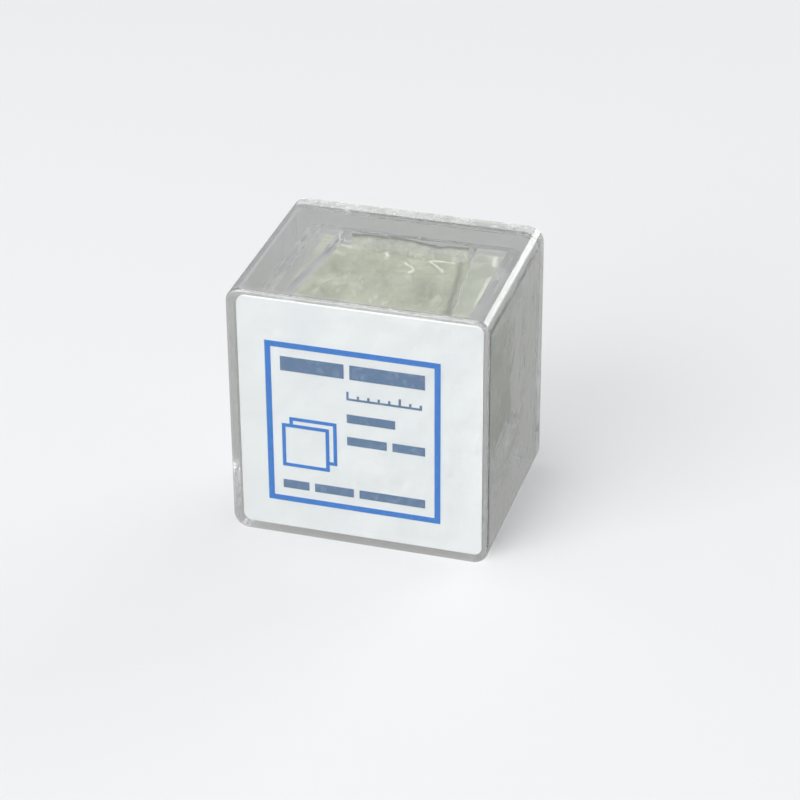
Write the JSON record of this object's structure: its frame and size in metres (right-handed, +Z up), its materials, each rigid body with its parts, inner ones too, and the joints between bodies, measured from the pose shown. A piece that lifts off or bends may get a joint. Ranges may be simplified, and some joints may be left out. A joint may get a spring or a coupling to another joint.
{
  "type": "box of cover slips",
  "caption": "Square glass cover slips stacked in clear film, held in the well of a clear plastic box whose lid slides off; a blue-bordered label card sits inside the lid's face.",
  "frame": {"origin": "centre of the bounding box's underside, on the side wall that the box lies on", "axes": "+X to the right of the labelled face, +Y from the labelled face of the lid to the base, +Z up"},
  "size_m": [0.025, 0.0198, 0.0257],
  "materials": {
    "clear_box": "clear moulded polystyrene, polished",
    "clear_film": "thin clear wrapping film, creased",
    "slip_glass": "thin clear glass, grey-green through the cut edges",
    "card": "smooth white card",
    "blue_ink": "flat printed ink",
    "dark_ink": "flat printed ink"
  },
  "bodies": {
    "base": {"base_tray": "clear_box", "film_wrap": "clear_film", "cover_slips": "slip_glass"},
    "lid": {"lid": "clear_box", "label_card": "card", "label_print": "blue_ink", "label_rows": "dark_ink"}
  },
  "joints": [
    {"name": "lid_slide", "type": "slide", "parent": "base", "child": "lid", "axis": [0, -1, 0], "range_m": [0, 0.02]}
  ]
}
